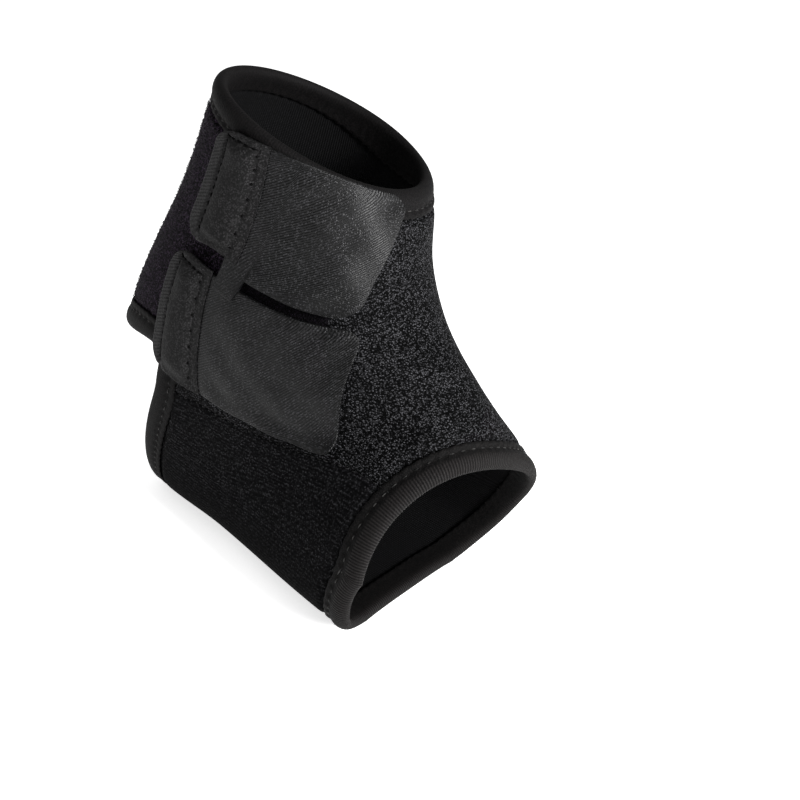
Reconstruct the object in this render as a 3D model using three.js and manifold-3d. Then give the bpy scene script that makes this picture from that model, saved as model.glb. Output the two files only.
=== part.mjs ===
// An open-heel ankle brace for a right foot, worn shape. Sizes are millimetres.
// The sole rests on z = 0, the toes point along +X and +Y is the inner side of the foot.
import * as THREE from "three";
import Module from "manifold-3d";

// Driving sizes of the ankle form that the cloth is drawn over
const FORM_LENGTH = 165; // back of the heel line to the front end of the form
const FORM_HEIGHT = 153.5; // floor to the high back edge of the leg opening
const FORM_WIDTH = 80; // across the ankle bones
const SOLE_PRESS = 1.2; // depth of the rounded sole that the floor presses flat

// Driving sizes of the cloth, the tape, the straps and the tabs
const CLOTH = 3; // neoprene with its two knit faces
const TAPE = 0.9; // one layer of binding tape
const TAPE_WIDTH = 9; // binding tape, from its fold to its sewn edge
const STRAP = 1.6; // strap webbing
const STRAP_WIDTH = 40;
const STRAP_CORNER = 7; // radius of the strap's corners
const TAB = 1.8; // hook tab sewn over the strap's back end
const TAB_LENGTH = 17; // along the strap
const TAB_MARGIN = 0.8; // how far the tab stands past the strap's edges
const GAP = 0.3; // clearance between pieces that touch

// Where the edges lie on the form. Turn is degrees round a section, 0 at the instep and
// 90 on the outer side; down is the share of the way from the leg opening to the front end.
const FRONT_EDGE = { down: 0.952, scoop: 0.104, scoopTurn: 37, scoopSpread: 47 };
const HEEL_HOLE = { down: 0.473, halfTurn: 78, rise: 0.057, fall: 0.18, topSquare: 6, lowSquare: 1.7 };
const SEAM = { frontTurn: 48, bend: 1.6 };

// Sections of the form from the leg opening down to the front of the foot. The x columns are
// shares of FORM_LENGTH, the z columns of FORM_HEIGHT, half and shift of FORM_WIDTH. Shift
// moves a section to the inner side, lean is its rise for each unit of y, and square is the
// power that fills out its back or sole half: 1 is an ellipse.
const SECTIONS = namedRows(
  ["frontX", "frontZ", "backX", "backZ", "half", "shift", "lean", "square"],
  [
    [0.256, 0.853, -0.121, 1, 0.454, -0.02, -0.11, 1],
    [0.279, 0.779, -0.16, 0.933, 0.453, -0.005, 0, 1],
    [0.297, 0.682, -0.221, 0.773, 0.462, 0, 0, 1],
    [0.342, 0.607, -0.336, 0.493, 0.491, 0, 0, 0.92],
    [0.4, 0.556, -0.405, 0.18, 0.478, 0, 0, 0.78],
    [0.448, 0.508, -0.266, 0.014, 0.446, 0.02, 0, 0.73],
    [0.488, 0.465, -0.013, 0, 0.461, 0.015, 0, 0.66],
    [0.543, 0.401, 0.255, 0, 0.52, 0, 0, 0.615],
    [0.592, 0.314, 0.516, 0, 0.551, -0.015, 0, 0.6],
  ],
);

// The upper strap's top edge by its ends and its rise, and the lean of the two straps' short
// ends in degrees of turn for each unit of down. The lower strap's top edge follows the upper
// one's bottom edge from a share to a share of its length, a slit below it.
const UPPER_STRAP = { backTurn: 99, frontTurn: 1, backDown: 0.047, frontDown: 0.028, rise: 0.03 };
const UPPER_ENDS = { backLean: 33, frontLean: 103 };
const LOWER_STRAP = { from: -0.01, to: 1.07, backSlit: 3.8, frontSlit: 1.4 };
const LOWER_ENDS = { backLean: -41, frontLean: 92 };

const wasm = await Module();
wasm.setup();

// Rows of numbers with their columns named
function namedRows(names, rows) {
  return rows.map((row) => Object.fromEntries(names.map((name, i) => [name, row[i]])));
}

const signedPower = (value, power) => Math.sign(value) * Math.abs(value) ** power;
const mix = (a, b, share) => a + (b - a) * share;
const mixSpot = (a, b, share) => ({
  down: mix(a.down, b.down, share),
  turn: mix(a.turn, b.turn, share),
});

// A section at a share of the way down, on a smooth curve through the rows
function sectionAt(down) {
  const last = SECTIONS.length - 1;
  const place = down * last;
  const i = Math.min(Math.max(Math.floor(place), 0), last - 1);
  const t = place - i;
  const row = {};
  for (const key of Object.keys(SECTIONS[0])) {
    const b = SECTIONS[i][key];
    const c = SECTIONS[i + 1][key];
    const a = i > 0 ? SECTIONS[i - 1][key] : 2 * b - c;
    const d = i < last - 1 ? SECTIONS[i + 2][key] : 2 * c - b;
    const cubic = 3 * b - a - 3 * c + d;
    const square = 2 * a - 5 * b + 4 * c - d;
    row[key] = (2 * b + (c - a) * t + square * t * t + cubic * t ** 3) / 2;
  }
  return row;
}

// A point of the cloth's outer face
function formPoint(spot) {
  const row = sectionAt(spot.down);
  const angle = THREE.MathUtils.degToRad(spot.turn);
  const power = Math.cos(angle) < 0 ? row.square : 1;
  const toFront = signedPower(Math.cos(angle), power);
  const toSide = signedPower(Math.sin(angle), power);
  const x = mix(row.backX, row.frontX, (1 + toFront) / 2) * FORM_LENGTH;
  const side = -row.half * toSide * FORM_WIDTH;
  const z = mix(row.backZ, row.frontZ, (1 + toFront) / 2) * FORM_HEIGHT + row.lean * side;
  const pressed = ((z - SOLE_PRESS) * FORM_HEIGHT) / (FORM_HEIGHT - SOLE_PRESS);
  return new THREE.Vector3(x, side + row.shift * FORM_WIDTH, Math.max(pressed, 0));
}

// The two directions along the face at a spot, for one unit of down and one degree of turn
function formSlopes(spot) {
  const stepDown = 0.004;
  const stepTurn = 1;
  const at = (down, turn) => formPoint({ down: spot.down + down, turn: spot.turn + turn });
  const alongDown = at(stepDown, 0).sub(at(-stepDown, 0)).divideScalar(2 * stepDown);
  const alongTurn = at(0, stepTurn).sub(at(0, -stepTurn)).divideScalar(2 * stepTurn);
  return { alongDown, alongTurn };
}

function formNormal(spot) {
  const { alongDown, alongTurn } = formSlopes(spot);
  return alongTurn.cross(alongDown).normalize();
}

const offsetPoint = (spot, height) =>
  formPoint(spot).addScaledVector(formNormal(spot), height);

// The spot reached by going a distance along the face, square to a direction along an edge
function stepAcross(spot, edgeDirection, distance) {
  const { alongDown, alongTurn } = formSlopes(spot);
  const normal = alongTurn.clone().cross(alongDown).normalize();
  const move = edgeDirection.clone().cross(normal).normalize().multiplyScalar(distance);
  const dd = alongDown.dot(alongDown);
  const dt = alongDown.dot(alongTurn);
  const tt = alongTurn.dot(alongTurn);
  const md = move.dot(alongDown);
  const mt = move.dot(alongTurn);
  const area = dd * tt - dt * dt;
  return {
    down: spot.down + (md * tt - mt * dt) / area,
    turn: spot.turn + (mt * dd - md * dt) / area,
  };
}

// The edges of the cloth. Each runs so that the wrap lies on its left and gives a spot.
const rimEdge = (turn) => ({ down: 0, turn });

function frontEdge(turn) {
  const fromScoop = THREE.MathUtils.euclideanModulo(turn - FRONT_EDGE.scoopTurn + 180, 360) - 180;
  const away = fromScoop / FRONT_EDGE.scoopSpread;
  return { down: FRONT_EDGE.down - FRONT_EDGE.scoop * Math.exp(-away * away), turn };
}

// The heel hole is a closed oval on the form, squarer at its top. Around runs in degrees
// from the outer corner over the top to the inner corner and back under the heel.
function heelEdge(around) {
  const angle = THREE.MathUtils.degToRad(around);
  const square = around < 180 ? HEEL_HOLE.topSquare : HEEL_HOLE.lowSquare;
  const reach = around < 180 ? HEEL_HOLE.rise : HEEL_HOLE.fall;
  return {
    down: HEEL_HOLE.down - reach * signedPower(Math.sin(angle), 2 / square),
    turn: 180 - HEEL_HOLE.halfTurn * signedPower(Math.cos(angle), 2 / square),
  };
}

// The seam on one side, from the heel hole's corner (share 0) to the front edge (share 1)
function seamEdge(share, side) {
  const start = heelEdge(0);
  const turn = mix(start.turn, SEAM.frontTurn, share);
  const end = frontEdge(side * SEAM.frontTurn);
  const down = mix(start.down, end.down, share ** SEAM.bend);
  return { down, turn: side > 0 ? turn : 360 - turn };
}

// Spots along an edge at equal distances on the face, stopping short of both ends
function spacedSpots(edge, from, to, count, short = 0) {
  const samples = 300;
  const values = Array.from({ length: samples + 1 }, (_, i) => mix(from, to, i / samples));
  const points = values.map((value) => formPoint(edge(value)));
  const lengths = [0];
  for (let i = 1; i <= samples; i++)
    lengths.push(lengths[i - 1] + points[i].distanceTo(points[i - 1]));
  return Array.from({ length: count + 1 }, (_, k) => {
    const wanted = mix(short, lengths[samples] - short, k / count);
    const i = Math.max(lengths.findIndex((length) => length >= wanted - 1e-9), 1);
    const share = (wanted - lengths[i - 1]) / (lengths[i] - lengths[i - 1]);
    return edge(mix(values[i - 1], values[i], share));
  });
}

// A line of spots moved across the face to its left, or to its right if negative
function shiftedSpots(spots, distance, closed) {
  const points = spots.map(formPoint);
  const count = spots.length;
  return spots.map((spot, i) => {
    const before = closed ? (i + count - 1) % count : Math.max(i - 1, 0);
    const after = closed ? (i + 1) % count : Math.min(i + 1, count - 1);
    return stepAcross(spot, points[after].clone().sub(points[before]), distance);
  });
}

// A closed solid from its corner points and four-sided faces
function solidFrom(points, quads) {
  const corners = quads.flatMap(([a, b, c, d]) => [a, b, c, a, c, d]);
  let volume = 0;
  for (let i = 0; i < corners.length; i += 3) {
    const [a, b, c] = corners.slice(i, i + 3).map((corner) => points[corner]);
    volume += a.dot(b.clone().cross(c));
  }
  return new wasm.Manifold(
    new wasm.Mesh({
      numProp: 3,
      vertProperties: new Float32Array(points.flatMap((point) => point.toArray())),
      triVerts: new Uint32Array(volume > 0 ? corners : corners.reverse()),
    }),
  );
}

// A sheet with thickness: columns of spots, and the heights of its two faces over the form
function sheetSolid(columns, outerHeight, innerHeight, closed) {
  const rows = columns[0].length;
  const count = columns.length;
  const points = [outerHeight, innerHeight].flatMap((height) =>
    columns.flatMap((column) => column.map((spot) => offsetPoint(spot, height))),
  );
  const at = (face, i, j) => (face * count + (i % count)) * rows + j;
  const quads = [];
  const spans = closed ? count : count - 1;
  for (let i = 0; i < spans; i++) {
    for (let j = 0; j < rows - 1; j++) {
      quads.push([at(0, i, j), at(0, i + 1, j), at(0, i + 1, j + 1), at(0, i, j + 1)]);
      quads.push([at(1, i, j), at(1, i, j + 1), at(1, i + 1, j + 1), at(1, i + 1, j)]);
    }
    const end = rows - 1;
    quads.push([at(0, i, 0), at(1, i, 0), at(1, i + 1, 0), at(0, i + 1, 0)]);
    quads.push([at(0, i, end), at(0, i + 1, end), at(1, i + 1, end), at(1, i, end)]);
  }
  for (let j = 0; j < rows - 1 && !closed; j++) {
    const end = count - 1;
    quads.push([at(0, 0, j), at(0, 0, j + 1), at(1, 0, j + 1), at(1, 0, j)]);
    quads.push([at(0, end, j), at(1, end, j), at(1, end, j + 1), at(0, end, j + 1)]);
  }
  return solidFrom(points, quads);
}

// A closed band along an edge, from a section given as [distance in from the edge, height]
function bandSolid(edgeSpots, section) {
  const lines = section.map(([distance, height]) =>
    shiftedSpots(edgeSpots, distance, true).map((spot) => offsetPoint(spot, height)),
  );
  const count = edgeSpots.length;
  const quads = [];
  for (let k = 0; k < section.length; k++)
    for (let i = 0; i < count; i++) {
      const next = (i + 1) % count;
      const up = (k + 1) % section.length;
      quads.push([k * count + i, k * count + next, up * count + next, up * count + i]);
    }
  return solidFrom(lines.flat(), quads);
}

// Tape folded round an edge: its outer leg lies flush in the pressed cloth, its inner leg
// lies on the inner face
const FOLD_DEPTH = CLOTH + TAPE;
const TAPE_SECTION = [
  [TAPE_WIDTH, 0],
  [TAPE_WIDTH / 2, 0],
  [0, 0],
  [0, -FOLD_DEPTH],
  [TAPE_WIDTH / 2, -FOLD_DEPTH],
  [TAPE_WIDTH, -FOLD_DEPTH],
  [TAPE_WIDTH, -CLOTH],
  [TAPE_WIDTH / 2, -CLOTH],
  [TAPE, -CLOTH],
  [TAPE, -TAPE],
  [TAPE_WIDTH / 2, -TAPE],
  [TAPE_WIDTH, -TAPE],
];

// The space that the folded tape takes up in the cloth, open outside, inside and past the edge
const GROOVE_SECTION = [
  [TAPE_WIDTH + GAP, CLOTH],
  [TAPE_WIDTH / 2, CLOTH],
  [-TAPE, CLOTH],
  [-TAPE, -2 * CLOTH],
  [TAPE_WIDTH / 2, -2 * CLOTH],
  [TAPE_WIDTH + GAP, -2 * CLOTH],
  [TAPE_WIDTH + GAP, GAP - CLOTH],
  [TAPE_WIDTH / 2, GAP - CLOTH],
  [TAPE + GAP, GAP - CLOTH],
  [TAPE + GAP, -TAPE - GAP],
  [TAPE_WIDTH / 2, -TAPE - GAP],
  [TAPE_WIDTH + GAP, -TAPE - GAP],
];

// Numbers of faces round the edges and along the cloth
const RIM_STEPS = 38;
const FRONT_STEPS = 42;
const HEEL_STEPS = 18;
const WRAP_STEPS = { front: 14, seam: 12, heel: 16 };
const WRAP_ROWS = 12;
const STRAP_STEP = 6; // millimetres of strap
const CORNER_STEPS = 3;

// The edge lines, each run so that the cloth lies on its left
const rimLine = spacedSpots(rimEdge, 360, 0, RIM_STEPS).slice(1);
const frontLine = spacedSpots(frontEdge, 0, 360, FRONT_STEPS).slice(1);
const heelLine = [
  ...spacedSpots(heelEdge, 0, 180, HEEL_STEPS).slice(1),
  ...spacedSpots(heelEdge, 180, 360, HEEL_STEPS).slice(1),
];

// The cloth is drawn to the middle of the fold before it is grooved
const CLOTH_INSET = TAPE / 2;
const outerSeam = (share) => seamEdge(share, 1);
const innerSeam = (share) => seamEdge(share, -1);
const seamLine = (seam) => spacedSpots(seam, 0, 1, WRAP_STEPS.seam, CLOTH_INSET);

// Spots of a bound edge between two seams, without its ends
const boundSpots = (edge, from, to, count, inset) =>
  shiftedSpots(spacedSpots(edge, from, to, count), inset, false).slice(1, -1);

// The wrap goes round the leg from the rim down to the front edge, the seams and the heel hole
function upperWrap() {
  const heelTurn = heelEdge(0).turn;
  const { frontTurn } = SEAM;
  const runs = [
    {
      spots: boundSpots(frontEdge, -frontTurn, frontTurn, WRAP_STEPS.front, CLOTH_INSET),
      turns: [-frontTurn, frontTurn],
    },
    {
      spots: shiftedSpots(seamLine(outerSeam).reverse(), GAP / 2, false),
      turns: [frontTurn, heelTurn],
    },
    {
      spots: boundSpots(heelEdge, 0, 180, WRAP_STEPS.heel, CLOTH_INSET),
      turns: [heelTurn, 360 - heelTurn],
    },
    {
      spots: shiftedSpots(seamLine(innerSeam), GAP / 2, false),
      turns: [360 - heelTurn, 360 - frontTurn],
    },
  ];
  const lower = runs.flatMap((run) => run.spots);
  const rim = runs.flatMap(({ spots, turns }) =>
    spots.map((_, i) => rimEdge(mix(...turns, (i + 0.5) / spots.length))),
  );
  const top = shiftedSpots(rim, -CLOTH_INSET, true);
  const columns = top.map((start, i) =>
    Array.from({ length: WRAP_ROWS + 1 }, (_, j) => mixSpot(start, lower[i], j / WRAP_ROWS)),
  );
  return sheetSolid(columns, 0, -CLOTH, true);
}

// The stirrup goes under the foot from seam to seam, between the heel hole and the front edge
function stirrup() {
  const outer = shiftedSpots(seamLine(outerSeam), GAP / 2, false);
  const inner = shiftedSpots(seamLine(innerSeam), -GAP / 2, false);
  const { frontTurn } = SEAM;
  const steps = WRAP_STEPS.heel + 4;
  const end = WRAP_STEPS.seam;
  const back = [
    outer[0],
    ...boundSpots(heelEdge, 360, 180, steps, -CLOTH_INSET),
    inner[0],
  ];
  const front = [
    outer[end],
    ...boundSpots(frontEdge, frontTurn, 360 - frontTurn, steps, CLOTH_INSET),
    inner[end],
  ];
  const columns = back.map((start, i) =>
    outer.map((outerSpot, j) => {
      const across = i / steps;
      const along = j / end;
      const sides = mixSpot(outerSpot, inner[j], across);
      const corners = mixSpot(
        mixSpot(outer[0], inner[0], across),
        mixSpot(outer[end], inner[end], across),
        along,
      );
      const ends = mixSpot(start, front[i], along);
      return {
        down: sides.down + ends.down - corners.down,
        turn: sides.turn + ends.turn - corners.turn,
      };
    }),
  );
  return sheetSolid(columns, 0, -CLOTH, false);
}

// The length on the face of a line of spots given by share
function lineLength(line) {
  const steps = 16;
  const points = Array.from({ length: steps + 1 }, (_, i) => formPoint(line(i / steps)));
  return points.slice(1).reduce((sum, point, i) => sum + point.distanceTo(points[i]), 0);
}

// The spot a distance down the face from a start, along a lean in turn for each unit of down
function walkDown(start, lean, distance) {
  const reached = (down) => ({ down: start.down + down, turn: start.turn + lean * down });
  let reach = distance / FORM_HEIGHT;
  for (let pass = 0; pass < 3; pass++) {
    reach *= distance / lineLength((share) => reached(reach * share));
  }
  return reached(reach);
}

// The spots a share of the way along a strap's top and bottom edges
function upperEdges(share) {
  const { backTurn, frontTurn, backDown, frontDown, rise } = UPPER_STRAP;
  const arch = 4 * rise * share * (1 - share);
  const top = {
    down: mix(backDown, frontDown, share) - arch,
    turn: mix(backTurn, frontTurn, share),
  };
  const lean = mix(UPPER_ENDS.backLean, UPPER_ENDS.frontLean, share);
  return { top, low: walkDown(top, lean, STRAP_WIDTH) };
}

function lowerEdges(share) {
  const above = upperEdges(mix(LOWER_STRAP.from, LOWER_STRAP.to, share)).low;
  const lean = mix(LOWER_ENDS.backLean, LOWER_ENDS.frontLean, share);
  const top = walkDown(above, lean, mix(LOWER_STRAP.backSlit, LOWER_STRAP.frontSlit, share));
  return { top, low: walkDown(top, lean, STRAP_WIDTH) };
}

function middleSpot(edges, share) {
  const { top, low } = edges(share);
  return mixSpot(top, low, 0.5);
}

// Columns of spots of a strip of the strap's width from its back end, with rounded corners.
// Margin widens it at the back and the sides.
function webbingColumns(edges, fullLength, length, margin) {
  const radius = STRAP_CORNER + margin;
  const width = STRAP_WIDTH + 2 * margin;
  const arc = Array.from({ length: CORNER_STEPS + 1 }, (_, k) => {
    const angle = (Math.PI / 2) * (k / CORNER_STEPS);
    return { across: radius * (1 - Math.cos(angle)), inset: radius * (1 - Math.sin(angle)) };
  });
  const straight = [0.25, 0.5, 0.75].map((share) => ({
    across: mix(radius, width - radius, share),
    inset: 0,
  }));
  const mirrored = arc.map(({ across, inset }) => ({ across: width - across, inset }));
  const rows = [...arc, ...straight, ...mirrored.reverse()];
  const steps = Math.ceil(length / STRAP_STEP);
  const rounded = length === fullLength;
  return Array.from({ length: steps + 1 }, (_, i) =>
    rows.map(({ across, inset }) => {
      const along = mix(inset - margin, rounded ? length - inset : length, i / steps);
      const { top, low } = edges(along / fullLength);
      return mixSpot(top, low, (across - margin) / STRAP_WIDTH);
    }),
  );
}

// A mesh of a solid, with its material
function piece(name, solid, material) {
  const mesh = solid.getMesh();
  const geometry = new THREE.BufferGeometry();
  geometry.setAttribute("position", new THREE.BufferAttribute(mesh.vertProperties, 3));
  geometry.setIndex(new THREE.BufferAttribute(mesh.triVerts, 1));
  geometry.computeVertexNormals();
  const made = new THREE.Mesh(geometry, material);
  made.name = name;
  return made;
}

const cloth = (color, roughness) =>
  new THREE.MeshStandardMaterial({ color, roughness, metalness: 0 });
const knitFace = cloth(0x17171a, 0.9);
const stirrupFace = cloth(0x131315, 0.9);
const bindingTape = cloth(0x1d1d20, 0.8);
const webbing = cloth(0x303134, 0.75);
const hookTab = cloth(0x2a2a2d, 0.8);

const grooves = [rimLine, frontLine, heelLine].map((line) => bandSolid(line, GROOVE_SECTION));
const grooved = (solid) => grooves.reduce((made, groove) => made.subtract(groove), solid);

const brace = new THREE.Group();
brace.add(piece("upper_wrap", grooved(upperWrap()), knitFace));
brace.add(piece("stirrup", grooved(stirrup()), stirrupFace));
brace.add(piece("top_binding", bandSolid(rimLine, TAPE_SECTION), bindingTape));
brace.add(piece("front_binding", bandSolid(frontLine, TAPE_SECTION), bindingTape));
brace.add(piece("heel_binding", bandSolid(heelLine, TAPE_SECTION), bindingTape));
for (const [name, edges] of [["upper", upperEdges], ["lower", lowerEdges]]) {
  const length = lineLength((share) => middleSpot(edges, share));
  const band = webbingColumns(edges, length, length, 0);
  const tab = webbingColumns(edges, length, TAB_LENGTH, TAB_MARGIN);
  const strapTop = GAP + STRAP;
  const tabLow = strapTop + GAP;
  brace.add(piece(name + "_strap", sheetSolid(band, strapTop, GAP, false), webbing));
  brace.add(piece(name + "_tab", sheetSolid(tab, tabLow + TAB, tabLow, false), hookTab));
}

export default brace;
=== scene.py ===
import bpy
import numpy as np
from mathutils import Matrix


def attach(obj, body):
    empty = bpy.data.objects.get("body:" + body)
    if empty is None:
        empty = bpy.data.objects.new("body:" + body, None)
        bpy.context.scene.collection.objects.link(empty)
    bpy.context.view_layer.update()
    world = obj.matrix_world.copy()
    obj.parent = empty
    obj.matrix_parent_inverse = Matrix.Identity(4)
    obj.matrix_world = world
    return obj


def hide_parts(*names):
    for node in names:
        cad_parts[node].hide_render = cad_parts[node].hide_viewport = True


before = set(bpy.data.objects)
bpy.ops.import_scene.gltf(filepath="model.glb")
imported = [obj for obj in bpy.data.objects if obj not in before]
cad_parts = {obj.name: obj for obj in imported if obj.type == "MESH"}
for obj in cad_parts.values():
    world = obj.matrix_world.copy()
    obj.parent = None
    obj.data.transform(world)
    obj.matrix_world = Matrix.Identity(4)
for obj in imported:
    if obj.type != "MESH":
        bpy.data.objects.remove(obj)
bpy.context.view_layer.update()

# The camera looks down on the outer side of the ankle from in front of it. It is held close,
# a little rolled, and takes in the whole brace with room around it.
CAMERA_AZIMUTH, CAMERA_ELEVATION, CAMERA_ROLL = np.radians([33.25, 26.0, -9.4])
ORIGIN_FROM_CAMERA = np.array([-0.05025, -0.03843, -0.36945])
SENSOR_WIDTH, FOCAL_LENGTH = 36, 45


def turned_axes(azimuth, elevation, roll):
    """The camera's right, up and back axes: a turn about Z, a tilt, then a roll of right and up."""
    right = np.array([np.cos(azimuth), np.sin(azimuth), 0])
    level = np.array([np.sin(azimuth), -np.cos(azimuth), 0])
    back = level * np.cos(elevation) + np.array([0, 0, np.sin(elevation)])
    up = np.cross(back, right)
    rolled_right = np.cos(roll) * right - np.sin(roll) * up
    rolled_up = np.sin(roll) * right + np.cos(roll) * up
    return np.array([rolled_right, rolled_up, back])


camera_axes = turned_axes(CAMERA_AZIMUTH, CAMERA_ELEVATION, CAMERA_ROLL)
camera_place = Matrix(camera_axes.T.tolist()).to_4x4()
camera_place.translation = -camera_axes.T @ ORIGIN_FROM_CAMERA
camera = bpy.data.objects.new("camera", bpy.data.cameras.new("camera"))
camera.data.sensor_width = SENSOR_WIDTH
camera.data.lens = FOCAL_LENGTH
camera.matrix_world = camera_place
bpy.context.collection.objects.link(camera)
bpy.context.scene.camera = camera


# The upper wrap is 3 mm neoprene with a knit face on both sides, cut in one piece. It goes
# round the lower leg and over the instep, down to a seam on each side of the foot. Its edges
# are pressed thin where the tape is sewn over them.
MM = 0.001
FORM_LENGTH, FORM_HEIGHT, FORM_WIDTH = 165 * MM, 153.5 * MM, 80 * MM
SOLE_PRESS = 1.2 * MM
CLOTH = 3 * MM
TAPE_WIDTH = 9 * MM
TAPE_STITCH = 3.5 * MM
SEAM_FRONT_TURN, SEAM_BEND = 48, 1.6
TOE_DOWN, SCOOP_DEPTH, SCOOP_TURN, SCOOP_REACH = 0.952, 0.104, 37, 47
HEEL_DOWN, HEEL_HALF_TURN, HEEL_RISE, HEEL_FALL = 0.473, 78, 0.057, 0.18
HEEL_TOP_SQUARE, HEEL_LOW_SQUARE = 6, 1.7

# Sections of the ankle from the leg opening to the toe end: front x and z, back x and z as
# shares of the form's length and height, half width and shift as shares of its width, then
# the lean, and the power that fills out the back or sole half
SECTIONS = np.array(
    [
        [0.256, 0.853, -0.121, 1, 0.454, -0.02, -0.11, 1],
        [0.279, 0.779, -0.16, 0.933, 0.453, -0.005, 0, 1],
        [0.297, 0.682, -0.221, 0.773, 0.462, 0, 0, 1],
        [0.342, 0.607, -0.336, 0.493, 0.491, 0, 0, 0.92],
        [0.4, 0.556, -0.405, 0.18, 0.478, 0, 0, 0.78],
        [0.448, 0.508, -0.266, 0.014, 0.446, 0.02, 0, 0.73],
        [0.488, 0.465, -0.013, 0, 0.461, 0.015, 0, 0.66],
        [0.543, 0.401, 0.255, 0, 0.52, 0, 0, 0.615],
        [0.592, 0.314, 0.516, 0, 0.551, -0.015, 0, 0.6],
    ]
) * [FORM_LENGTH, FORM_HEIGHT, FORM_LENGTH, FORM_HEIGHT, FORM_WIDTH, FORM_WIDTH, 1, 1]


def mix(a, b, share):
    return a + (b - a) * share


def signed_power(value, power):
    return np.sign(value) * np.abs(value) ** power


def ramp(value, low, high):
    """0 below low and 1 above high, with 3t^2 - 2t^3 between them."""
    t = np.clip((value - low) / (high - low), 0, 1)
    return t * t * (3 - 2 * t)


def bell(value, middle, width):
    return np.exp(-(((value - middle) / width) ** 2))


def cubic(a, b, c, d, t):
    """The cubic from b to c whose slopes there are half the differences c - a and d - b."""
    square, cube = 2 * a - 5 * b + 4 * c - d, 3 * b - a - 3 * c + d
    return (2 * b + (c - a) * t + square * t**2 + cube * t**3) / 2


def unit(vectors):
    return vectors / np.linalg.norm(vectors, axis=-1, keepdims=True)


def section_at(down):
    """The section at a share of the way down, by a cubic between the rows of the table."""
    last = len(SECTIONS) - 1
    place = down * last
    i = np.clip(np.floor(place).astype(int), 0, last - 1)
    t = (place - i)[..., None]
    before, after = 2 * SECTIONS[0] - SECTIONS[1], 2 * SECTIONS[-1] - SECTIONS[-2]
    rows = np.vstack([before, SECTIONS, after])
    return cubic(*(rows[i + k] for k in range(4)), t)


def form_point(spots):
    """Points of the outer face. A spot is (down, turn): down runs from the leg opening to the
    toe end, and turn is the angle round a section, 0 at the instep and 90 on the outer side.
    A section is an ellipse with cosine and sine raised to a power in its back half."""
    front_x, front_z, back_x, back_z, half, shift, lean, square = np.moveaxis(
        section_at(spots[..., 0]), -1, 0
    )
    angle = np.radians(spots[..., 1])
    power = np.where(np.cos(angle) < 0, square, 1)
    forward = (1 + signed_power(np.cos(angle), power)) / 2
    side = -half * signed_power(np.sin(angle), power)
    z = mix(back_z, front_z, forward) + lean * side
    pressed = (z - SOLE_PRESS) * FORM_HEIGHT / (FORM_HEIGHT - SOLE_PRESS)
    return np.stack([mix(back_x, front_x, forward), side + shift, np.maximum(pressed, 0)], -1)


def form_slopes(spots):
    """The face's directions for one unit of down and one degree of turn: the difference of
    the points a small step on either side, over two steps."""
    slopes = []
    for step in ([0.004, 0], [0, 1.0]):
        change = form_point(spots + step) - form_point(spots - np.array(step))
        slopes.append(change / (2 * max(step)))
    return slopes


def form_normal(spots):
    along_down, along_turn = form_slopes(spots)
    return unit(np.cross(along_turn, along_down))


def raised(spots, height):
    """Points at a height over the face, kept above the floor."""
    points = form_point(spots) + form_normal(spots) * np.asarray(height)[..., None]
    points[..., 2] = np.maximum(points[..., 2], 0)
    return points


def step_across(spots, direction, distance):
    """Spots a distance to the left of a direction along the face. The step is solved for down
    and turn from its products with the two slopes."""
    along_down, along_turn = form_slopes(spots)
    move = np.cross(direction, np.cross(along_turn, along_down))
    move *= np.asarray(distance)[..., None] / np.linalg.norm(move, axis=-1, keepdims=True)
    dd, tt = (along_down**2).sum(-1), (along_turn**2).sum(-1)
    dt = (along_down * along_turn).sum(-1)
    md, mt = (move * along_down).sum(-1), (move * along_turn).sum(-1)
    area = dd * tt - dt * dt
    return spots + np.stack([md * tt - mt * dt, mt * dd - md * dt], -1) / area[..., None]


def edge_direction(points, closed):
    """At each point the way from the one before to the one after."""
    if closed:
        return np.roll(points, -1, 0) - np.roll(points, 1, 0)
    return np.gradient(points, axis=0)


def shifted(spots, distance, closed=False):
    direction = edge_direction(form_point(spots), closed)
    return step_across(spots, direction, np.full(len(spots), distance))


def rim_edge(turn):
    return np.stack([np.zeros_like(turn), turn], -1)


def front_edge(turn):
    """The toe opening, cut back in a bell-shaped scoop at the outer side of the instep."""
    from_scoop = (turn - SCOOP_TURN + 180) % 360 - 180
    return np.stack([TOE_DOWN - SCOOP_DEPTH * bell(from_scoop, 0, SCOOP_REACH), turn], -1)


def heel_edge(around):
    """The heel hole: an oval with squared corners, its top half squarer than its low half."""
    angle = np.radians(around)
    upper = np.asarray(around) < 180
    power = 2 / np.where(upper, HEEL_TOP_SQUARE, HEEL_LOW_SQUARE)
    reach = np.where(upper, HEEL_RISE, HEEL_FALL)
    down = HEEL_DOWN - reach * signed_power(np.sin(angle), power)
    return np.stack([down, 180 - HEEL_HALF_TURN * signed_power(np.cos(angle), power)], -1)


def seam_edge(share, side):
    """A seam from the hole's corner to the toe opening: turn goes evenly, down by a power."""
    start = heel_edge(np.zeros(1))[0]
    end = front_edge(np.array([side * SEAM_FRONT_TURN]))[0]
    turn = mix(start[1], SEAM_FRONT_TURN, share)
    down = mix(start[0], end[0], share**SEAM_BEND)
    return np.stack([down, turn if side > 0 else 360 - turn], -1)


def closed_line(points):
    return np.concatenate([points, points[:1]])


def lengths_on(points):
    """Distances along a line of points from its first one."""
    steps = np.linalg.norm(np.diff(points, axis=0), axis=1)
    return np.concatenate([[0], np.cumsum(steps)])


def even_spots(edge, start, stop, count):
    """Spots of an edge at equal distances along the face."""
    values = np.linspace(start, stop, 1200)
    lengths = lengths_on(form_point(edge(values)))
    return edge(np.interp(np.linspace(0, lengths[-1], count + 1), lengths, values))


def outer_seam(share):
    return seam_edge(share, 1)


def inner_seam(share):
    return seam_edge(share, -1)


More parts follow.
